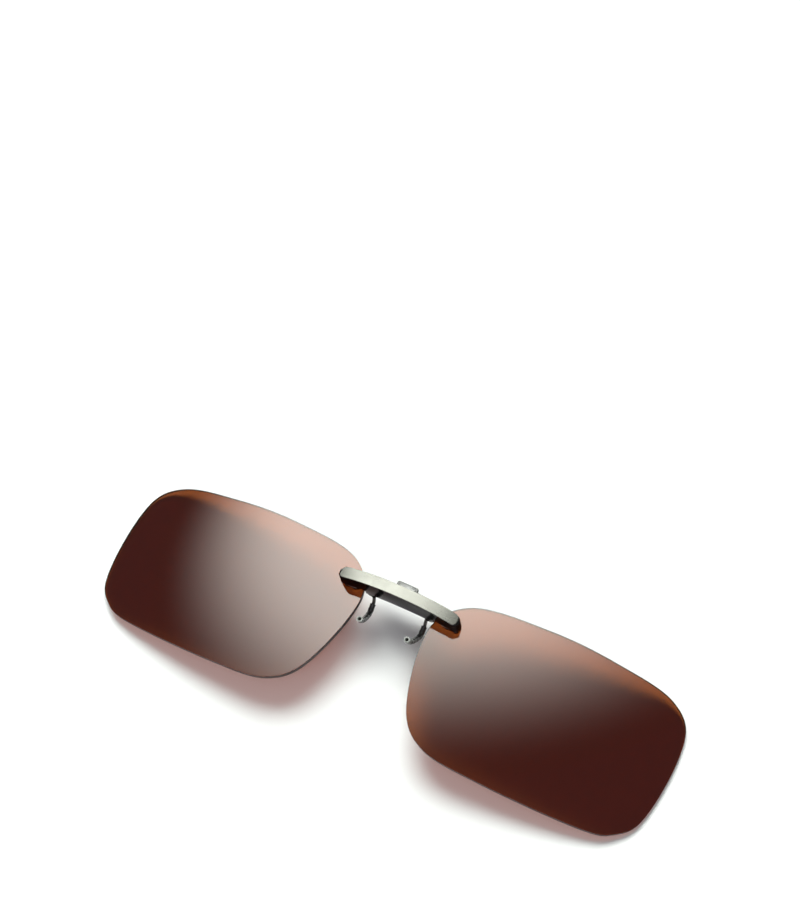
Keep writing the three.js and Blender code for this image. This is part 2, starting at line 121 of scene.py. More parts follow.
# Right claw: the wire runs from its hub over the shoulder and down the stem into the curl.
SHOULDER = [
    Vector(corner) for corner in (
        (7.65, 9.3, 7.8), (7.55, 9.05, 8.0), (7.2, 8.9, 8.08), (6.6, 8.85, 8.08), (6.2, 8.72, 7.85),
        (6.07, 8.4, 7.25), (6.05, 7.95, 6.62))
]
STEM_TOP = Vector((6.05, 7.85, 6.5))
STEM_END = Vector((6.03, 6.1, 5.75))
CURL_START_PULL = Vector((5.98, 4.9, 5.5))
CURL_END_PULL = Vector((5.6, 1.95, 8.7))
HOOK_TIP = Vector((5.52, 1.97, 11.2))
PALE_FROM = 8.6
WIRE_RADIUS = 0.37
OPEN_TIP_POINTS = 5
SLEEVE_RADIUS = 0.6
SLEEVE_WALL = 0.2
SLEEVE_RIBS = 7
SLEEVE_RIB_SWELL = 0.045
HUB_INNER = 7.1
HUB_OUTER = 8.4
HUB_RADIUS = 0.75
HUB_BORE = 0.5

BLOCK_HALF = 5.1
BLOCK_BOTTOM = 10.3
BLOCK_TOP = 12.4
BLOCK_REAR = 5.4
FLIP_BARREL = 0.95
FLIP_BORE = 0.55
CLAW_BARREL = 0.75
CLAW_BORE = 0.5
CAM_BAY_HALF = 1.7
COVER_HALF = 4.8
COVER_REAR = 4.95
SCREW_X = 3.4
SCREW_Y = 11.35
SCREW_REAR = 4.62
SCREW_COLLAR = 4.92
SCREW_END = 6.2
SCREW_HEAD = 0.6
SCREW_SHANK = 0.28
SCREW_SLOT_HALF = 0.09

LEVER_HALF = 8.3
LEVER_BOTTOM = 12.9
LEVER_TOP = 13.3
LEVER_REAR = 4.6
LEVER_FRONT = 5.8
LEVER_ARM_INNER = 7.15
LEVER_ARM_OUTER = 8.35
GROOVES_EACH_SIDE = 4
GROOVE_PITCH = 1.2
GROOVE_HALF = 0.14
GROOVE_DEPTH = 0.1

SPRING_WIRE = 0.14
SPRING_COIL = 0.72
SPRING_TURNS = 4.5
SPRING_POINTS = 160

FLIP_AXIS = Vector(JOINTS["flip_hinge"]["pos_m"])
CLAW_AXIS = Vector(JOINTS["claw_hinge"]["pos_m"])


class LensSettings(bpy.types.PropertyGroup):
    """Sizes and tint of the lenses."""

    thickness: bpy.props.FloatProperty(
        name="Thickness", description="Thickness of each lens", default=1.0 * MM, unit="LENGTH")
    curve: bpy.props.FloatProperty(
        name="Curve", description="Radius of the lens front", default=0.4, unit="LENGTH")
    wrap: bpy.props.FloatProperty(
        name="Wrap", description="Turn of each lens back towards the temple",
        default=math.radians(8.7), unit="ROTATION")
    tint: bpy.props.FloatVectorProperty(
        name="Tint", description="Colour of light that has passed through a lens",
        default=(0.225, 0.054, 0.011), subtype="COLOR", size=3)
    shade: bpy.props.FloatVectorProperty(
        name="Shade", description="Colour of light that falls on the floor behind a lens",
        default=(0.16, 0.031, 0.009), subtype="COLOR", size=3)


class MetalSettings(bpy.types.PropertyGroup):
    """Colours of the plated metal."""

    face: bpy.props.FloatVectorProperty(
        name="Face plate", description="Satin gunmetal plating of the bar's face",
        default=(0.125, 0.123, 0.112), subtype="COLOR", size=3)
    body: bpy.props.FloatVectorProperty(
        name="Bar body", description="Black nickel plating of the bar and block",
        default=(0.045, 0.044, 0.043), subtype="COLOR", size=3)
    wire: bpy.props.FloatVectorProperty(
        name="Claw wire", description="Dark plating of the claws and lever",
        default=(0.08, 0.076, 0.072), subtype="COLOR", size=3)
    steel: bpy.props.FloatVectorProperty(
        name="Steel", description="Bright steel of axles, springs, rivets and screws",
        default=(0.55, 0.55, 0.54), subtype="COLOR", size=3)


class BarSettings(bpy.types.PropertyGroup):
    """Shape of the bar."""

    arch: bpy.props.FloatProperty(
        name="Arch", description="Rise of the bar's middle towards the brow", default=0.6 * MM, unit="LENGTH")
    bow: bpy.props.FloatProperty(
        name="Bow", description="How far the front stands out in the middle", default=1.2 * MM, unit="LENGTH")
    round_edge: bpy.props.FloatProperty(
        name="Edge round", description="Round along the bar's long edges", default=0.16 * MM, unit="LENGTH")


class StageSettings(bpy.types.PropertyGroup):
    """Floor and light."""

    floor: bpy.props.FloatVectorProperty(
        name="Floor", description="Colour of the floor", default=(0.93, 0.93, 0.935), subtype="COLOR", size=3)
    softbox: bpy.props.FloatProperty(
        name="Softbox", description="Brightness at the middle of the softbox", default=9.6)
    front: bpy.props.FloatProperty(
        name="Front panel", description="Brightness at the middle of the panel in front", default=2.3)
    fill: bpy.props.FloatProperty(
        name="Fill", description="Brightness of the room round the stage", default=0.2)


# ---------------------------------------------------------------- modelling helpers


def clear_selection():
    if bpy.context.mode != "OBJECT":
        bpy.ops.object.mode_set(mode="OBJECT")
    bpy.ops.object.select_all(action="DESELECT")


def current():
    return bpy.context.view_layer.objects.active


def only(piece):
    clear_selection()
    piece.select_set(True)
    bpy.context.view_layer.objects.active = piece


def open_mesh(piece, kind="FACE"):
    only(piece)
    bpy.ops.object.mode_set(mode="EDIT")
    bpy.ops.mesh.select_mode(type=kind)
    bpy.ops.mesh.select_all(action="SELECT")


def close_mesh():
    bpy.ops.object.mode_set(mode="OBJECT")


def face_outwards(piece):
    open_mesh(piece)
    bpy.ops.mesh.remove_doubles(threshold=1e-7)
    bpy.ops.mesh.normals_make_consistent(inside=False)
    close_mesh()


def use_modifier(piece, kind, **settings):
    only(piece)
    modifier = piece.modifiers.new(kind.title(), kind)
    for key, value in settings.items():
        setattr(modifier, key, value)
    bpy.ops.object.modifier_apply(modifier=modifier.name)


def round_edges(piece, width, segments=3, angle=35):
    use_modifier(piece, "BEVEL", width=width, segments=segments, limit_method="ANGLE",
                 angle_limit=math.radians(angle), use_clamp_overlap=True)


def combine(piece, tool, operation):
    use_modifier(piece, "BOOLEAN", object=tool, operation=operation, solver="EXACT")
    bpy.data.objects.remove(tool)
    return piece


def carve(piece, tool):
    return combine(piece, tool, "DIFFERENCE")


def weld(piece, other):
    return combine(piece, other, "UNION")


def place(piece, matrix):
    piece.data.transform(matrix)
    return piece


def mirror_copy(piece):
    mesh = piece.data.copy()
    mesh.transform(Matrix.Scale(-1, 4, Vector((1, 0, 0))))
    mesh.flip_normals()
    copy = bpy.data.objects.new(piece.name + "_mirrored", mesh)
    bpy.context.scene.collection.objects.link(copy)
    return copy


def smooth(piece, angle=32):
    only(piece)
    bpy.ops.object.shade_smooth_by_angle(angle=math.radians(angle))


def settle(piece, name, body, finish, nodes, angle=32):
    """Names a finished piece, smooths and paints it, and hangs it on its body."""
    piece.name = name
    piece.data.name = name
    if angle:
        smooth(piece, angle)
    finishes = finish if isinstance(finish, (list, tuple)) else [finish]
    while len(piece.data.materials) < len(finishes):
        piece.data.materials.append(None)
    for index, one in enumerate(finishes):
        piece.data.materials[index] = one
    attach(piece, body)
    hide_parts(*nodes)
    return piece


def box(low, high, round_off=0.0, segments=3):
    """A block between two corners, in millimetres, with its edges rounded."""
    clear_selection()
    low = Vector(low) * MM
    high = Vector(high) * MM
    bpy.ops.mesh.primitive_cube_add(size=1.0, location=(low + high) / 2)
    piece = current()
    piece.scale = high - low
    bpy.ops.object.transform_apply(location=True, rotation=True, scale=True)
    if round_off:
        round_edges(piece, round_off * MM, segments)
    return piece


AXES = {
    "X": (Vector((1, 0, 0)), lambda along, u, v: Vector((along, u, v))),
    "Z": (Vector((0, 0, 1)), lambda along, u, v: Vector((u, v, along))),
}


def prism(outline, low, high, axis="X", round_off=0.0, segments=3):
    """An outline, in millimetres, drawn out from low to high along an axis."""
    direction, lay = AXES[axis]
    clear_selection()
    bpy.ops.mesh.primitive_circle_add(vertices=len(outline), fill_type="NGON")
    piece = current()
    for vertex, (u, v) in zip(piece.data.vertices, outline):
        vertex.co = lay(low, u, v) * MM
    open_mesh(piece)
    bpy.ops.mesh.extrude_region_move(TRANSFORM_OT_translate={"value": direction * (high - low) * MM})
    close_mesh()
    face_outwards(piece)
    if round_off:
        round_edges(piece, round_off * MM, segments)
    return piece


def turned(stations, centre, axis="X", round_off=0.0, sides=40):
    """A lathe-turned piece: a disc drawn out through (place, radius) stations, in millimetres."""
    direction, lay = AXES[axis]
    clear_selection()
    start, radius = stations[0]
    rotation = (0, math.pi / 2, 0) if axis == "X" else (0, 0, 0)
    bpy.ops.mesh.primitive_circle_add(
        vertices=sides, radius=radius * MM, fill_type="NGON",
        location=lay(start, *centre) * MM, rotation=rotation)
    piece = current()
    bpy.ops.object.transform_apply(location=True, rotation=True, scale=True)
    open_mesh(piece)
    for along, wide in stations[1:]:
        step = direction * (along - start) * MM
        bpy.ops.mesh.extrude_region_move(TRANSFORM_OT_translate={"value": step})
        grow = wide / radius
        bpy.ops.transform.resize(value=(grow, grow, grow), center_override=lay(along, *centre) * MM)
        start, radius = along, wide
    close_mesh()
    face_outwards(piece)
    if round_off:
        round_edges(piece, round_off * MM, 3)
    return piece


def sweep(points, radius, sides=4, swell=None, hollow=0.0):
    """A wire along points in metres; swell gives its radius factor along its length, 0 to 1."""
    clear_selection()
    bpy.ops.curve.primitive_bezier_curve_add()
    wire = current()
    curve = wire.data
    curve.splines.clear()
    line = curve.splines.new("POLY")
    line.points.add(len(points) - 1)
    for index, point in enumerate(points):
        line.points[index].co = (*point, 1)
        line.points[index].radius = swell(index / (len(points) - 1)) if swell else 1.0
    curve.dimensions = "3D"
    curve.bevel_depth = radius
    curve.bevel_resolution = sides
    curve.use_fill_caps = not hollow
    bpy.ops.object.convert(target="MESH")
    wire = current()
    face_outwards(wire)
    if hollow:
        use_modifier(wire, "SOLIDIFY", thickness=hollow, offset=-1, use_even_offset=True)
        face_outwards(wire)
    return wire


def catmull_rom(points, steps):
    """A closed centripetal curve through 2-D points."""
    count = len(points)
    line = []
    for index in range(count):
        p0, p1, p2, p3 = (Vector(points[(index + shift) % count]) for shift in (-1, 0, 1, 2))
        d0, d1, d2 = ((a - b).length ** 0.5 for a, b in ((p0, p1), (p1, p2), (p2, p3)))
        t1 = ((p1 - p0) / d0 - (p2 - p0) / (d0 + d1) + (p2 - p1) / d1) * d1
        t2 = ((p2 - p1) / d1 - (p3 - p1) / (d1 + d2) + (p3 - p2) / d2) * d1
        for step in range(steps):
            t = step / steps
            line.append(p1 + t1 * t + (3 * (p2 - p1) - 2 * t1 - t2) * t * t
                        + (2 * (p1 - p2) + t1 + t2) * t ** 3)
    return line


def even_loop(points, count):
    """Points spaced evenly round a closed line."""
    lengths = [0.0]
    for index in range(len(points)):
        lengths.append(lengths[-1] + (points[(index + 1) % len(points)] - points[index]).length)
    spaced = []
    index = 0
    for number in range(count):
        target = lengths[-1] * number / count
        while lengths[index + 1] < target:
            index += 1
        part = (target - lengths[index]) / (lengths[index + 1] - lengths[index])
        spaced.append(points[index].lerp(points[(index + 1) % len(points)], part))
    return spaced


def even_line(points, count):
    """Points spaced evenly along an open line."""
    lengths = [0.0]
    for index in range(len(points) - 1):
        lengths.append(lengths[-1] + (points[index + 1] - points[index]).length)
    spaced = []
    index = 0
    for number in range(count + 1):
        target = lengths[-1] * number / count
        while index < len(points) - 2 and lengths[index + 1] < target:
            index += 1
        part = (target - lengths[index]) / (lengths[index + 1] - lengths[index])
        spaced.append(points[index].lerp(points[index + 1], part))
    return spaced


def rounded_box(u0, u1, v0, v1, corner, steps=6):
    outline = []
    for centre_u, centre_v, start in ((u1 - corner, v1 - corner, 0), (u0 + corner, v1 - corner, 90),
                                      (u0 + corner, v0 + corner, 180), (u1 - corner, v0 + corner, 270)):
        for step in range(steps + 1):
            angle = math.radians(start + 90 * step / steps)
            outline.append((centre_u + corner * math.cos(angle), centre_v + corner * math.sin(angle)))
    return outline


def bezier(p0, p1, p2, p3, count):
    line = []
    for index in range(count + 1):
        t = index / count
        line.append(p0 * (1 - t) ** 3 + p1 * 3 * t * (1 - t) ** 2 + p2 * 3 * t * t * (1 - t) + p3 * t ** 3)
    return line


# ---------------------------------------------------------------- finishes


def node(tree, kind, where=(0, 0), **values):
    made = tree.nodes.new(kind)
    made.location = where
    for key, value in values.items():
        if hasattr(made, key):
            setattr(made, key, value)
        else:
            made.inputs[key.replace("_", " ")].default_value = value
    return made


def group_shell(name, inputs, outputs):
    group = bpy.data.node_groups.new(name, "ShaderNodeTree")
    for title, kind, default in inputs:
        group.interface.new_socket(title, in_out="INPUT", socket_type=kind).default_value = default
    for title, kind in outputs:
        group.interface.new_socket(title, in_out="OUTPUT", socket_type=kind)
    return group, group.nodes.new("NodeGroupInput"), group.nodes.new("NodeGroupOutput")


def brushed_group():
    """Fine straight scratches along X, as a height."""
    group, given, result = group_shell(
        "Brushed lines", [("Scale", "NodeSocketFloat", 1.0), ("Stretch", "NodeSocketFloat", 30.0)],
        [("Height", "NodeSocketFloat")])
    links = group.links
    spot = node(group, "ShaderNodeTexCoord")
    squeeze = node(group, "ShaderNodeVectorMath", operation="MULTIPLY")
    axes = node(group, "ShaderNodeCombineXYZ", X=1.0)
    noise = node(group, "ShaderNodeTexNoise", Detail=3.0, Roughness=0.6)
    links.new(spot.outputs["Object"], squeeze.inputs[0])
    links.new(given.outputs["Stretch"], axes.inputs["Y"])
    links.new(given.outputs["Stretch"], axes.inputs["Z"])
    links.new(axes.outputs[0], squeeze.inputs[1])
    links.new(squeeze.outputs[0], noise.inputs["Vector"])
    links.new(given.outputs["Scale"], noise.inputs["Scale"])
    links.new(noise.outputs["Fac"], result.inputs["Height"])
    return group


def smudge_group():
    """Soft uneven patches, as left by plating and handling."""
    group, given, result = group_shell(
        "Soft patches",
        [("Scale", "NodeSocketFloat", 200.0), ("Low", "NodeSocketFloat", 0.2),
         ("High", "NodeSocketFloat", 0.3)],
        [("Value", "NodeSocketFloat")])
    links = group.links
    spot = node(group, "ShaderNodeTexCoord")
    noise = node(group, "ShaderNodeTexNoise", Detail=4.0, Roughness=0.55)
    spread = node(group, "ShaderNodeMapRange", From_Min=0.3, From_Max=0.7)
    links.new(spot.outputs["Object"], noise.inputs["Vector"])
    links.new(given.outputs["Scale"], noise.inputs["Scale"])
    links.new(noise.outputs["Fac"], spread.inputs["Value"])
    links.new(given.outputs["Low"], spread.inputs["To Min"])
    links.new(given.outputs["High"], spread.inputs["To Max"])
    links.new(spread.outputs[0], result.inputs["Value"])
    return group


GROUPS = {}
FINISHES = {}

# Sockets of a colour mix node: its two colours and its result.
MIX_FIRST = 6
MIX_SECOND = 7
MIX_RESULT = 2
# Depth of scratches and grain, in metres.
FINE_RELIEF = 0.00001


def use_group(tree, name, where, **values):
    made = tree.nodes.new("ShaderNodeGroup")
    made.node_tree = GROUPS[name]
    made.location = where
    for key, value in values.items():
        made.inputs[key].default_value = value
    return made


def new_finish(name):
    material = bpy.data.materials.new(name)
    material.use_nodes = True
    tree = material.node_tree
    shader = tree.nodes["Principled BSDF"]
    return material, tree, shader


def uneven_gloss(tree, shader, scale, low, high):
    """Roughness that drifts between two values in soft patches."""
    gloss = use_group(tree, "smudge", (-600, 0), Scale=scale, Low=low, High=high)
    tree.links.new(gloss.outputs["Value"], shader.inputs["Roughness"])


def fine_grain(tree, scale):
    return use_group(tree, "smudge", (-600, -300), Scale=scale, Low=0.0, High=1.0).outputs["Value"]


def relief(tree, shader, height, strength, depth):
    """Raises the surface by a height socket, at most depth in metres."""
    bump = node(tree, "ShaderNodeBump", (-300, -300), Strength=strength, Distance=depth)
    tree.links.new(height, bump.inputs["Height"])
    tree.links.new(bump.outputs[0], shader.inputs["Normal"])


def blend_colours(tree, shader, factor, first, second):
    """Base colour between two colours, by a factor socket."""
    shade = node(tree, "ShaderNodeMix", (-300, 200), data_type="RGBA")
    shade.inputs[MIX_FIRST].default_value = (*first, 1)
    shade.inputs[MIX_SECOND].default_value = (*second, 1)
    tree.links.new(factor, shade.inputs[0])
    tree.links.new(shade.outputs[MIX_RESULT], shader.inputs["Base Color"])


def drifting_colour(tree, shader, colour, scale, darker, lighter):
    """Base colour that drifts a little darker and lighter in soft patches."""
    drift = use_group(tree, "smudge", (-600, 200), Scale=scale, Low=0.0, High=1.0)
    low = [part * darker for part in colour]
    high = [min(1.0, part * lighter) for part in colour]
    blend_colours(tree, shader, drift.outputs["Value"], low, high)


def metal(name, colour, low, high, scratch=0.0, scratch_scale=900.0):
    """Plated metal: uneven gloss, slight colour drift and brushed lines or fine grain."""
    material, tree, shader = new_finish(name)
    shader.inputs["Metallic"].default_value = 1.0
    uneven_gloss(tree, shader, 260.0, low, high)
    drifting_colour(tree, shader, colour, 90.0, 0.9, 1.08)
    if scratch:
        lines = use_group(tree, "brushed", (-600, -300), Scale=scratch_scale, Stretch=28.0)
        relief(tree, shader, lines.outputs["Height"], scratch, FINE_RELIEF)
    else:
        relief(tree, shader, fine_grain(tree, 2600.0), 0.12, FINE_RELIEF)
    return material


def through_shadow(tree, shader, colour):
    """Lets light reach what is behind a clear piece: a tinted straight pass for shadow and diffuse rays."""
    output = tree.nodes["Material Output"]
    path = node(tree, "ShaderNodeLightPath", (0, 400))
    either = node(tree, "ShaderNodeMath", (200, 400), operation="MAXIMUM")
    clear = node(tree, "ShaderNodeBsdfTransparent", (0, 200), Color=(*colour, 1))
    mix = node(tree, "ShaderNodeMixShader", (300, 200))
    tree.links.new(path.outputs["Is Shadow Ray"], either.inputs[0])
    tree.links.new(path.outputs["Is Diffuse Ray"], either.inputs[1])
    tree.links.new(either.outputs[0], mix.inputs[0])
    tree.links.new(shader.outputs[0], mix.inputs[1])
    tree.links.new(clear.outputs[0], mix.inputs[2])
    tree.links.new(mix.outputs[0], output.inputs["Surface"])


def tinted_lens(name, tint, shade_tint):
    """Polished brown lens: coloured clear plastic with the faintest surface drift."""
    material, tree, shader = new_finish(name)
    shader.inputs["Transmission Weight"].default_value = 1.0
    shader.inputs["IOR"].default_value = 1.53
    drifting_colour(tree, shader, tint, 25.0, 0.96, 1.04)
    uneven_gloss(tree, shader, 160.0, 0.015, 0.03)
    through_shadow(tree, shader, [math.sqrt(part) for part in shade_tint])
    return material


def clear_plastic(name, colour, roughness, weight):
    """Moulded clear or smoky plastic."""
    material, tree, shader = new_finish(name)
    shader.inputs["Base Color"].default_value = (*colour, 1)
    shader.inputs["Transmission Weight"].default_value = weight
    shader.inputs["IOR"].default_value = 1.45
    uneven_gloss(tree, shader, 700.0, roughness * 0.7, roughness * 1.4)
    relief(tree, shader, fine_grain(tree, 1800.0), 0.25, FINE_RELIEF)
    through_shadow(tree, shader, [0.45 + 0.5 * part for part in colour])
    return material


def sleeve_plastic(name, dark, pale):
    """Dark smoky sleeve that thins out to a paler tip."""
    material, tree, shader = new_finish(name)
    links = tree.links
    spot = node(tree, "ShaderNodeTexCoord", (-900, 200))
    split = node(tree, "ShaderNodeSeparateXYZ", (-700, 200))
    tip = node(tree, "ShaderNodeMapRange", (-500, 200), interpolation_type="SMOOTHSTEP",
               From_Min=PALE_FROM * MM, From_Max=HOOK_TIP.z * MM)
    links.new(spot.outputs["Object"], split.inputs[0])
    links.new(split.outputs["Z"], tip.inputs["Value"])
    blend_colours(tree, shader, tip.outputs[0], dark, pale)
    shader.inputs["Transmission Weight"].default_value = 0.15
    shader.inputs["IOR"].default_value = 1.5
    uneven_gloss(tree, shader, 900.0, 0.1, 0.26)
    relief(tree, shader, fine_grain(tree, 1500.0), 0.3, 2 * FINE_RELIEF)
    return material


def lens_edge(name):
    """The ground edge of the lens: dark, matt and slightly uneven."""
    material, tree, shader = new_finish(name)
    shader.inputs["Base Color"].default_value = (0.012, 0.006, 0.004, 1)
    uneven_gloss(tree, shader, 900.0, 0.3, 0.5)
    return material


def flat_floor(name, colour):
    """Matt paper floor."""
    material, _, shader = new_finish(name)
    shader.inputs["Base Color"].default_value = (*colour, 1)
    shader.inputs["Roughness"].default_value = 0.9
    shader.inputs["Specular IOR Level"].default_value = 0.0
    return material


def softbox_glow(name, colour, strength, rim, inner, outer):
    """An even glow that fades softly into the room's light towards the softbox's rim."""
    material = bpy.data.materials.new(name)
    material.use_nodes = True
    tree = material.node_tree
    tree.nodes.clear()
    output = node(tree, "ShaderNodeOutputMaterial")
    glow = node(tree, "ShaderNodeEmission")
    spot = node(tree, "ShaderNodeTexCoord")
    reach = node(tree, "ShaderNodeVectorMath", operation="LENGTH")
    fade = node(tree, "ShaderNodeMapRange", interpolation_type="SMOOTHERSTEP",
                From_Min=inner, From_Max=outer, To_Min=strength, To_Max=rim)
    glow.inputs["Color"].default_value = (*colour, 1)
    tree.links.new(spot.outputs["Object"], reach.inputs[0])
    tree.links.new(reach.outputs["Value"], fade.inputs["Value"])
    tree.links.new(fade.outputs[0], glow.inputs["Strength"])
    tree.links.new(glow.outputs[0], output.inputs["Surface"])
    return material


class FLIP_OT_finishes(bpy.types.Operator):
    """Makes every material that the pieces use"""

    bl_idname = "flip_lenses.finishes"
    bl_label = "Finishes"

    def execute(self, context):
        metals = context.scene.flip_metal
        GROUPS["brushed"] = brushed_group()
        GROUPS["smudge"] = smudge_group()
        lens = context.scene.flip_lens
        FINISHES["lens"] = tinted_lens("Tinted lens", lens.tint, lens.shade)
        FINISHES["lens_edge"] = lens_edge("Lens edge")
        FINISHES["face"] = metal("Champagne plate", metals.face, 0.2, 0.3, 0.5, 1000.0)
        FINISHES["body"] = metal("Black nickel", metals.body, 0.14, 0.24)
        FINISHES["wire"] = metal("Dark wire", metals.wire, 0.16, 0.28)
        FINISHES["steel"] = metal("Turned steel", metals.steel, 0.2, 0.34, 0.35, 1600.0)
        FINISHES["sleeve"] = sleeve_plastic("Smoky sleeve", (0.022, 0.021, 0.02), (0.34, 0.36, 0.33))
        FINISHES["clear"] = clear_plastic("Clear nylon", (0.8, 0.78, 0.74), 0.2, 0.8)
        return {"FINISHED"}


# ---------------------------------------------------------------- pieces


def lens_matrix():
    wrap = bpy.context.scene.flip_lens.wrap
    return Matrix.Translation(LENS_CENTRE) @ Matrix.Rotation(wrap, 4, "Y")


def clamp_matrix():
    """Origin on the lens front at the clamp point, Z along the lens normal."""
    lens = bpy.context.scene.flip_lens
    x = CLAMP_POINT.x - LENS_CENTRE.x
    sag = (x * x + CLAMP_POINT.y ** 2) / (2 * lens.curve)
    spot = lens_matrix() @ Vector((x, CLAMP_POINT.y, -sag))
    return Matrix.Translation(spot) @ Matrix.Rotation(lens.wrap + math.asin(x / lens.curve), 4, "Y")


class FLIP_OT_lenses(bpy.types.Operator):
    """Models both lenses: the outline filled by shrinking rings, domed, thickened and edged"""

    bl_idname = "flip_lenses.lenses"
    bl_label = "Lenses"

    def execute(self, context):
        settings = context.scene.flip_lens
        outline = even_loop(catmull_rom(LENS_OUTLINE, 24), LENS_POINTS)
        clear_selection()
        bpy.ops.mesh.primitive_circle_add(vertices=len(outline), fill_type="NOTHING")
        right = current()
        for vertex, point in zip(right.data.vertices, outline):
            vertex.co = Vector((point.x, point.y, 0)) * MM
        open_mesh(right, "EDGE")
        edge_rings = [1.0, 0.996, 0.985]
        reaches = edge_rings + [0.95 - 0.9 * step / LENS_RINGS for step in range(LENS_RINGS + 1)]
        for outer, inner in zip(reaches, reaches[1:]):
            shrink = inner / outer
            bpy.ops.mesh.extrude_edges_move()
            bpy.ops.transform.resize(value=(shrink, shrink, 1), center_override=(0, 0, 0))
        bpy.ops.mesh.edge_face_add()
        bpy.ops.mesh.poke()
        close_mesh()
        face_outwards(right)
        for vertex in right.data.vertices:
            vertex.co.z = -(vertex.co.x ** 2 + vertex.co.y ** 2) / (2 * settings.curve)
        if right.data.polygons[0].normal.z < 0:
            right.data.flip_normals()
        use_modifier(right, "SOLIDIFY", thickness=settings.thickness, offset=-1)
        round_edges(right, LENS_BEVEL, 2, 50)
        place(right, lens_matrix())
        for face in right.data.polygons:
            on_edge = abs(face.normal.z) <= 0.55
            face.material_index = int(on_edge)
        left = mirror_copy(right)
        for side, piece in (("right", right), ("left", left)):
            settle(piece, f"{side}_lens_polished", "lens_carrier",
                   [FINISHES["lens"], FINISHES["lens_edge"]], [f"{side}_lens"], 40)
        return {"FINISHED"}


def bend_along_bar(piece):
    """Arches the bar, bows its front and draws in its ends."""
    settings = bpy.context.scene.flip_bar
    middle = (BAR_BOTTOM + BAR_TOP) / 2
    depth = BAR_FRONT - BAR_REAR
    end_share = 0.12
    for vertex in piece.data.vertices:
        x, y, z = vertex.co
        rise = 1 - (x / BAR_HALF) ** 2
        beyond = max(0.0, abs(x) / BAR_HALF - (1 - end_share)) / end_share
        narrow = math.sqrt(max(0.05, 1 - 0.55 * beyond ** 2))
        vertex.co.y = middle + (y - middle) * narrow + settings.arch * rise
        stand = 1 - abs(x / BAR_HALF) ** 2.5
        vertex.co.z = z + settings.bow * stand * (z - BAR_REAR) / depth


def cut_into_stations(piece, half, count):
    open_mesh(piece)
    for index in range(1, count):
        bpy.ops.mesh.select_all(action="SELECT")
        x = -half + 2 * half * index / count
        bpy.ops.mesh.bisect(plane_co=(x, 0, 0), plane_no=(1, 0, 0))
    close_mesh()


class FLIP_OT_bar(bpy.types.Operator):
    """Models the arched bar with its seats for the lenses and its hinge ears"""

    bl_idname = "flip_lenses.bar"
    bl_label = "Bridge bar"

    def execute(self, context):
        half = BAR_HALF / MM
        bottom, top, rear, front = (size / MM for size in (BAR_BOTTOM, BAR_TOP, BAR_REAR, BAR_FRONT))
        beam = prism(rounded_box(-half, half, bottom, top, BAR_END_CORNER, 8), rear, front - FACE_GAP, "Z")
        round_edges(beam, context.scene.flip_bar.round_edge, 3, 60)
        cut_into_stations(beam, BAR_HALF, BAR_STATIONS)
        bend_along_bar(beam)
        for sign in SIDES.values():
            seat = place(box((-20, -12, -8), (8, 12, 0.5)), clamp_matrix())
            seat = combine(seat, box((BAR_DEEP_HALF, 0, 0), (30, 30, 20)), "INTERSECT")
            if sign < 0:
                mirrored = mirror_copy(seat)
                bpy.data.objects.remove(seat)
                seat = mirrored
            carve(beam, seat)
        flip_y, flip_z = FLIP_AXIS.y / MM, FLIP_AXIS.z / MM
        arm = [
            (flip_y - 0.9, rear - 0.3), (top - 0.7, rear - 0.25), (top - 0.7, rear + 0.6),
            (top + 0.4, rear + 0.6), (flip_y + 0.6, flip_z + 0.7), (flip_y, flip_z),
            (flip_y - 0.9, flip_z + 0.1),
        ]
        barrel = turned([(EAR_INNER, EAR_RADIUS), (EAR_OUTER, EAR_RADIUS)], (flip_y, flip_z))
        ear = weld(prism(arm, EAR_INNER, EAR_OUTER), barrel)
        round_edges(ear, 0.06 * MM, 2)
        left_ear = mirror_copy(ear)
        weld(beam, ear)
        weld(beam, left_ear)
        settle(beam, "bridge_bar_plated", "lens_carrier", FINISHES["body"], ["bridge_bar"], 20)
        return {"FINISHED"}


class FLIP_OT_face_plate(bpy.types.Operator):
    """Models the brushed plate along the bar's front"""

    bl_idname = "flip_lenses.face_plate"
    bl_label = "Face plate"

    def execute(self, context):
        base = BAR_FRONT / MM - FACE_GAP
        half = BAR_HALF / MM - FACE_INSET
        bottom, top = BAR_BOTTOM / MM + FACE_GAP, BAR_TOP / MM - FACE_GAP
        outline = rounded_box(-half, half, bottom, top, FACE_CORNER, 8)
        plate = prism(outline, base, base + FACE_THICKNESS, "Z", FACE_EDGE, 2)
        cut_into_stations(plate, half * MM, BAR_STATIONS)
        bend_along_bar(plate)
        settle(plate, "bridge_face_plate_brushed", "lens_carrier",
               FINISHES["face"], ["bridge_face_plate"], 18)
        return {"FINISHED"}


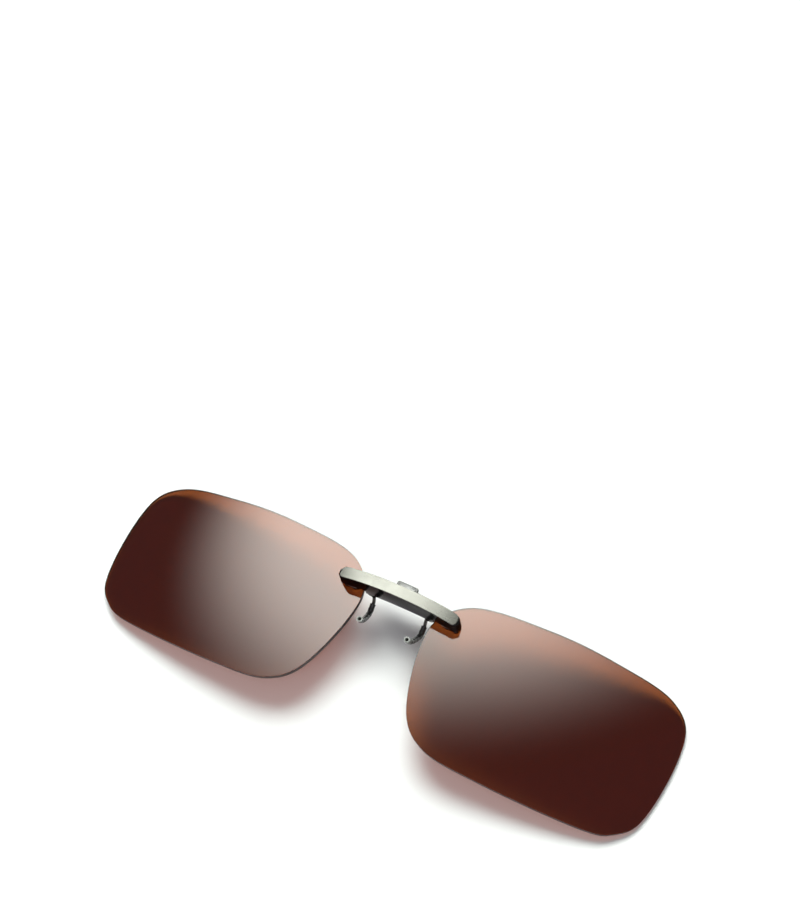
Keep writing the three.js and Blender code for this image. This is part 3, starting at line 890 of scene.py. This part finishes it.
class FLIP_OT_tab(bpy.types.Operator):
    """Models the thumb tab on the bar's top edge"""

    bl_idname = "flip_lenses.tab"
    bl_label = "Flip tab"

    def execute(self, context):
        low, high = (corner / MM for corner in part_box("flip_tab"))
        top = high.y + TAB_RISE
        outline = rounded_box(low.x, high.x, low.y - TAB_ROOT, top, TAB_CORNER)
        tab = prism(outline, low.z, high.z, "Z", 0.1, 2)
        inner = high.x - TAB_RIM
        notch = box((-inner, low.y - 1, high.z - TAB_NOTCH), (inner, top - TAB_TOP_RIM, high.z + 1), 0.03, 2)
        carve(tab, notch)
        finishes = [FINISHES["steel"], FINISHES["body"], FINISHES["face"]]
        floor_finish, side_finish, rim_finish = range(len(finishes))
        for finish in finishes:
            tab.data.materials.append(finish)
        for face in tab.data.polygons:
            inside = abs(face.center.x) < inner * MM
            sunk = high.z - 2 * TAB_NOTCH < face.center.z / MM < high.z - TAB_NOTCH / 2
            facing = face.normal.z > 0.9
            face.material_index = side_finish
            if facing and not inside:
                face.material_index = rim_finish
            if facing and inside and sunk:
                face.material_index = floor_finish
        settle(tab, "flip_tab_polished", "lens_carrier", finishes, ["flip_tab"], 30)
        return {"FINISHED"}


class FLIP_OT_lens_fixings(bpy.types.Operator):
    """Models the clamp plates, rivets and gaskets that hold the lenses"""

    bl_idname = "flip_lenses.lens_fixings"
    bl_label = "Lens fixings"

    def execute(self, context):
        matrix = clamp_matrix()
        plate_outline = rounded_box(FIXING_INNER, FIXING_OUTER, CLAMP_LOW, CLAMP_HIGH, CLAMP_CORNER)
        plate = prism(plate_outline, CLAMP_REAR, CLAMP_FRONT, "Z", 0.12)
        gasket_outline = rounded_box(FIXING_INNER, FIXING_OUTER, -GASKET_HALF, GASKET_HALF, GASKET_CORNER)
        gasket = prism(gasket_outline, GASKET_REAR, GASKET_FRONT, "Z", 0.06, 2)
        parts = [(plate, "clamp_plate", "clamp_plate_plated", "gunmetal", "body"),
                 (gasket, "lens_gasket", "lens_gasket_clear", "clear_plastic", "clear")]
        dome = [(RIVET_REAR, 0.38), (RIVET_REAR + 0.08, 0.6), (RIVET_REAR + 0.22, RIVET_HEAD),
                (RIVET_COLLAR, RIVET_HEAD)]
        shank = [(RIVET_COLLAR, RIVET_SHANK), (RIVET_FRONT, RIVET_SHANK)]
        for spot, x in (("inner", -RIVET_OFFSET), ("outer", RIVET_OFFSET)):
            rivet = turned(dome + shank, (x, 0.0), "Z", 0.04, 32)
            parts.append((rivet, f"{spot}_rivet", f"{spot}_rivet_domed", "steel", "steel"))
        for piece, cad_name, name, slot, finish in parts:
            place(piece, matrix)
            other = mirror_copy(piece)
            for side, one in (("right", piece), ("left", other)):
                settle(one, f"{side}_{name}", "lens_carrier", FINISHES[finish], [f"{side}_{cad_name}"])
        return {"FINISHED"}


def hook_line():
    """Centre line of the right claw from the top of its stem to its tip, in metres."""
    stem = [STEM_TOP.lerp(STEM_END, index / 10) for index in range(10)]
    curl = bezier(STEM_END, CURL_START_PULL, CURL_END_PULL, HOOK_TIP, 34)
    return [point * MM for point in stem + curl]


def shoulder_line():
    """Centre line of the right claw from its hub to the top of its stem, in metres."""
    last = len(SHOULDER) - 1
    line = []
    for index in range(last):
        p0, p1, p2, p3 = (SHOULDER[min(max(index + shift, 0), last)] for shift in (-1, 0, 1, 2))
        t1, t2 = (p2 - p0) / 2, (p3 - p1) / 2
        line += bezier(p1, p1 + t1 / 3, p2 - t2 / 3, p2, 6)[:-1]
    line.append(SHOULDER[last])
    return [point * MM for point in line]


def sleeve_swell(along):
    """Radius factor of the ribbed sleeve, along its length from 0 to 1."""
    return 1 + SLEEVE_RIB_SWELL * math.cos(along * 2 * math.pi * SLEEVE_RIBS)


class FLIP_OT_claws(bpy.types.Operator):
    """Models the hooked claws, their hubs and their ribbed sleeves"""

    bl_idname = "flip_lenses.claws"
    bl_label = "Claws"

    def execute(self, context):
        hook = hook_line()
        claw_y, claw_z = CLAW_AXIS.y / MM, CLAW_AXIS.z / MM
        rounding = [(0, HUB_RADIUS - 0.13), (0.08, HUB_RADIUS - 0.03), (0.15, HUB_RADIUS)]
        stations = [(HUB_INNER + step, radius) for step, radius in rounding]
        stations += [(HUB_OUTER - step, radius) for step, radius in reversed(rounding)]
        hub = turned(stations, (claw_y, claw_z), "X", 0.03, 40)
        hub = carve(hub, turned([(HUB_INNER - 0.6, HUB_BORE), (HUB_OUTER + 0.6, HUB_BORE)], (claw_y, claw_z)))
        weld(hub, sweep(shoulder_line() + hook[:-OPEN_TIP_POINTS], WIRE_RADIUS * MM, 6))
        covered = even_line(hook[1:], 96)
        sleeve = sweep(covered, SLEEVE_RADIUS * MM, 7, sleeve_swell, SLEEVE_WALL * MM)
        for piece, cad_name, name, slot, finish in (
                (hub, "claw", "claw_wire", "dark_steel", "wire"),
                (sleeve, "claw_sleeve", "claw_sleeve_ribbed", "claw_sleeve", "sleeve")):
            other = mirror_copy(piece)
            for side, one in (("right", piece), ("left", other)):
                settle(one, f"{side}_{name}", "claw_unit", FINISHES[finish], [f"{side}_{cad_name}"], 40)
        return {"FINISHED"}


class FLIP_OT_axles(bpy.types.Operator):
    """Models the two axles with their riveted heads"""

    bl_idname = "flip_lenses.axles"
    bl_label = "Axles"

    def execute(self, context):
        for node_name, axis, radius, head, head_length, body in (
                ("flip_axle", FLIP_AXIS, 0.5, 0.75, 0.4, "lens_carrier"),
                ("claw_axle", CLAW_AXIS, 0.45, 0.6, 0.35, "hinge_base")):
            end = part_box(node_name)[1].x / MM
            inner = end - head_length
            half = [(inner, radius), (inner, head), (end - 0.12, head), (end, head * 0.6)]
            stations = [(-x, r) for x, r in reversed(half)] + half
            axle = turned(stations, (axis.y / MM, axis.z / MM), "X", 0.03, 36)
            settle(axle, f"{node_name}_turned", body, FINISHES["steel"], [node_name])
        return {"FINISHED"}


class FLIP_OT_hinge_block(bpy.types.Operator):
    """Models the hinge block, its cover and the cover's screws"""

    bl_idname = "flip_lenses.hinge_block"
    bl_label = "Hinge block"

    def execute(self, context):
        flip = (FLIP_AXIS.y / MM, FLIP_AXIS.z / MM)
        claw = (CLAW_AXIS.y / MM, CLAW_AXIS.z / MM)
        block = box((-BLOCK_HALF, BLOCK_BOTTOM, BLOCK_REAR), (BLOCK_HALF, BLOCK_TOP, flip[1]), 0.15)
        flip_half = BLOCK_HALF + 0.1
        weld(block, turned([(-flip_half, FLIP_BARREL), (flip_half, FLIP_BARREL)], flip, "X", 0.08))
        weld(block, turned([(-BLOCK_HALF, CLAW_BARREL), (BLOCK_HALF, CLAW_BARREL)], claw, "X", 0.08))
        carve(block, box((-CAM_BAY_HALF, flip[0] - 1.05, BLOCK_REAR + 0.5), (CAM_BAY_HALF, 14, 9), 0.1, 2))
        carve(block, turned([(-9, FLIP_BORE), (9, FLIP_BORE)], flip))
        carve(block, turned([(-9, CLAW_BORE), (9, CLAW_BORE)], claw))
        settle(block, "hinge_block_cast", "hinge_base", FINISHES["body"], ["hinge_block"], 30)
        inset = 0.15
        outline = rounded_box(-COVER_HALF, COVER_HALF, BLOCK_BOTTOM + inset, BLOCK_TOP - inset, 0.5)
        cover = prism(outline, COVER_REAR, BLOCK_REAR - 0.05, "Z", 0.1)
        settle(cover, "block_cover_plate", "hinge_base", FINISHES["body"], ["block_cover"], 30)
        head = [(SCREW_REAR, 0.42), (SCREW_REAR + 0.05, 0.55), (SCREW_REAR + 0.13, SCREW_HEAD),
                (SCREW_COLLAR, SCREW_HEAD)]
        shank = [(SCREW_COLLAR, SCREW_SHANK), (SCREW_END, SCREW_SHANK)]
        screw = turned(head + shank, (SCREW_X, SCREW_Y), "Z", 0.03, 32)
        slot_low = (SCREW_X - 0.8, SCREW_Y - SCREW_SLOT_HALF, SCREW_REAR - 0.22)
        slot_high = (SCREW_X + 0.8, SCREW_Y + SCREW_SLOT_HALF, SCREW_REAR + 0.16)
        carve(screw, box(slot_low, slot_high))
        other = mirror_copy(screw)
        for side, one in (("right", screw), ("left", other)):
            settle(one, f"{side}_cover_screw_slotted", "hinge_base", FINISHES["steel"],
                   [f"{side}_cover_screw"])
        return {"FINISHED"}


class FLIP_OT_release_lever(bpy.types.Operator):
    """Models the release lever with its two arms and press plate"""

    bl_idname = "flip_lenses.release_lever"
    bl_label = "Release lever"

    def execute(self, context):
        claw_y, claw_z = CLAW_AXIS.y / MM, CLAW_AXIS.z / MM
        arm = [
            (BLOCK_TOP, LEVER_REAR), (LEVER_TOP, LEVER_REAR), (LEVER_TOP, LEVER_FRONT), (11.6, claw_z),
            (claw_y + 0.85, claw_z + 0.3), (claw_y + 0.85, claw_z - 0.5),
        ]
        right_arm = prism(arm, LEVER_ARM_INNER, LEVER_ARM_OUTER)
        left_arm = mirror_copy(right_arm)
        lever = box((-LEVER_HALF, LEVER_BOTTOM, LEVER_REAR), (LEVER_HALF, LEVER_TOP, LEVER_FRONT))
        weld(lever, right_arm)
        weld(lever, left_arm)
        round_edges(lever, 0.12 * MM, 3)
        for index in range(-GROOVES_EACH_SIDE, GROOVES_EACH_SIDE + 1):
            x = index * GROOVE_PITCH
            low = (x - GROOVE_HALF, LEVER_TOP - GROOVE_DEPTH, LEVER_REAR - 0.3)
            high = (x + GROOVE_HALF, LEVER_TOP + 1, LEVER_FRONT + 0.4)
            carve(lever, box(low, high, 0.04, 2))
        settle(lever, "release_lever_ribbed", "claw_unit", FINISHES["wire"],
               ["release_lever"], 30)
        return {"FINISHED"}


class FLIP_OT_springs(bpy.types.Operator):
    """Models the two torsion springs on the claw axle, wound mirror-fashion"""

    bl_idname = "flip_lenses.springs"
    bl_label = "Torsion springs"

    def execute(self, context):
        low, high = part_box("right_torsion_spring")
        wire = SPRING_WIRE * MM
        start, end = low.x + wire, high.x - wire
        coil = SPRING_COIL * MM
        line = []
        for index in range(SPRING_POINTS + 1):
            t = index / SPRING_POINTS
            angle = 2 * math.pi * SPRING_TURNS * t
            line.append(Vector((start + (end - start) * t, CLAW_AXIS.y + coil * math.cos(angle),
                                CLAW_AXIS.z + coil * math.sin(angle))))
        spring = sweep(line, wire, 4)
        other = mirror_copy(spring)
        for side, one in (("right", spring), ("left", other)):
            settle(one, f"{side}_torsion_spring_wound", "hinge_base", FINISHES["steel"],
                   [f"{side}_torsion_spring"], 60)
        return {"FINISHED"}


class FLIP_OT_kept_parts(bpy.types.Operator):
    """Gives the small carried-over parts their finishes"""

    bl_idname = "flip_lenses.kept_parts"
    bl_label = "Small parts"

    def execute(self, context):
        finishes = {"detent_cam": "steel", "detent_spring": "steel"}
        for side in SIDES:
            finishes[f"{side}_friction_washer"] = "steel"
            for spot in ("inner", "outer"):
                finishes[f"{side}_{spot}_bushing"] = "clear"
        for name, finish in finishes.items():
            NODES[name].material_slots[0].material = FINISHES[finish]
        return {"FINISHED"}


# ---------------------------------------------------------------- stage


class FLIP_OT_stage(bpy.types.Operator):
    """Sets the floor, the softbox, the room's light and the camera"""

    bl_idname = "flip_lenses.stage"
    bl_label = "Stage"

    def execute(self, context):
        stage = context.scene.flip_stage
        clear_selection()
        bpy.ops.mesh.primitive_plane_add(size=6.0)
        floor = current()
        floor.name = "studio_floor"
        floor.data.materials.append(flat_floor("Pale floor", stage.floor))
        self.panel("studio_softbox", Vector((-0.39, 0.76, 1.0)), Vector((0.57, 0.53)),
                   (0.96, 1.0, 0.95), stage.softbox, stage.fill, 0.66, 1.34)
        self.panel("studio_front_panel", Vector((0.35, -0.65, 1.0)), Vector((0.6, 0.35)),
                   (0.98, 0.98, 1.02), stage.front, stage.fill, 0.5, 1.2)
        self.room(context, stage.fill)
        self.camera(context)
        context.scene.view_settings.view_transform = "Standard"
        return {"FINISHED"}

    def panel(self, name, aim, spread, colour, strength, rim, inner, reach):
        """A level oval glowing panel overhead, hidden from the camera.

        aim is where it hangs and spread is its half size, both for a height of 1. Its glow is even as far
        as inner spreads from the middle, and has faded to rim at reach.
        """
        height = 2.6
        clear_selection()
        bpy.ops.mesh.primitive_circle_add(vertices=96, radius=reach, fill_type="NGON")
        panel = current()
        panel.name = name
        panel.location = aim * height
        panel.scale = (spread.x * height, spread.y * height, 1.0)
        panel.visible_camera = False
        panel.data.materials.append(softbox_glow(f"{name} glow", colour, strength, rim, inner, reach))

    def room(self, context, fill):
        world = bpy.data.worlds.new("Studio room")
        context.scene.world = world
        world.use_nodes = True
        tree = world.node_tree
        background = tree.nodes["Background"]
        background.inputs["Color"].default_value = (1.0, 1.0, 1.0, 1)
        background.inputs["Strength"].default_value = fill
        backdrop = node(tree, "ShaderNodeBackground", Strength=0.95)
        path = node(tree, "ShaderNodeLightPath")
        mix = node(tree, "ShaderNodeMixShader")
        tree.links.new(path.outputs["Is Camera Ray"], mix.inputs[0])
        tree.links.new(background.outputs[0], mix.inputs[1])
        tree.links.new(backdrop.outputs[0], mix.inputs[2])
        tree.links.new(mix.outputs[0], tree.nodes["World Output"].inputs["Surface"])

    def camera(self, context):
        lens_mm = 91.6
        spot = Vector((135.9, -139.4, 439.7)) * MM
        ahead = Vector((-0.311, 0.367, -0.877)).normalized()
        upward = Vector((-0.363, 0.807, 0.466))
        right = ahead.cross(upward).normalized()
        upward = right.cross(ahead)
        camera = bpy.data.objects.new("studio_camera", bpy.data.cameras.new("studio_camera"))
        context.scene.collection.objects.link(camera)
        turn = Matrix((right, upward, -ahead)).transposed().to_4x4()
        camera.matrix_world = Matrix.Translation(spot) @ turn
        camera.data.lens = lens_mm
        camera.data.clip_start = 0.01
        context.scene.camera = camera


class FLIP_PT_panel(bpy.types.Panel):
    """Lists the build steps and their settings"""

    bl_idname = "FLIP_PT_panel"
    bl_label = "Flip Lenses"
    bl_space_type = "VIEW_3D"
    bl_region_type = "UI"
    bl_category = "Flip Lenses"

    def draw(self, context):
        for name, cls in SETTINGS.items():
            for key in cls.__annotations__:
                self.layout.prop(getattr(context.scene, name), key)
        for operator in OPERATORS:
            self.layout.operator(operator.bl_idname)


SETTINGS = {
    "flip_lens": LensSettings,
    "flip_metal": MetalSettings,
    "flip_bar": BarSettings,
    "flip_stage": StageSettings,
}
OPERATORS = (
    FLIP_OT_finishes,
    FLIP_OT_lenses,
    FLIP_OT_bar,
    FLIP_OT_face_plate,
    FLIP_OT_tab,
    FLIP_OT_lens_fixings,
    FLIP_OT_claws,
    FLIP_OT_axles,
    FLIP_OT_hinge_block,
    FLIP_OT_release_lever,
    FLIP_OT_springs,
    FLIP_OT_kept_parts,
    FLIP_OT_stage,
)


def register():
    for cls in (*SETTINGS.values(), *OPERATORS, FLIP_PT_panel):
        bpy.utils.register_class(cls)
    for name, cls in SETTINGS.items():
        setattr(bpy.types.Scene, name, bpy.props.PointerProperty(type=cls))


def unregister():
    for name in SETTINGS:
        delattr(bpy.types.Scene, name)
    for cls in (FLIP_PT_panel, *reversed(OPERATORS), *reversed(SETTINGS.values())):
        bpy.utils.unregister_class(cls)


def main():
    register()
    for operator in OPERATORS:
        group, call = operator.bl_idname.split(".")
        getattr(getattr(bpy.ops, group), call)()


if __name__ == "__main__":
    main()
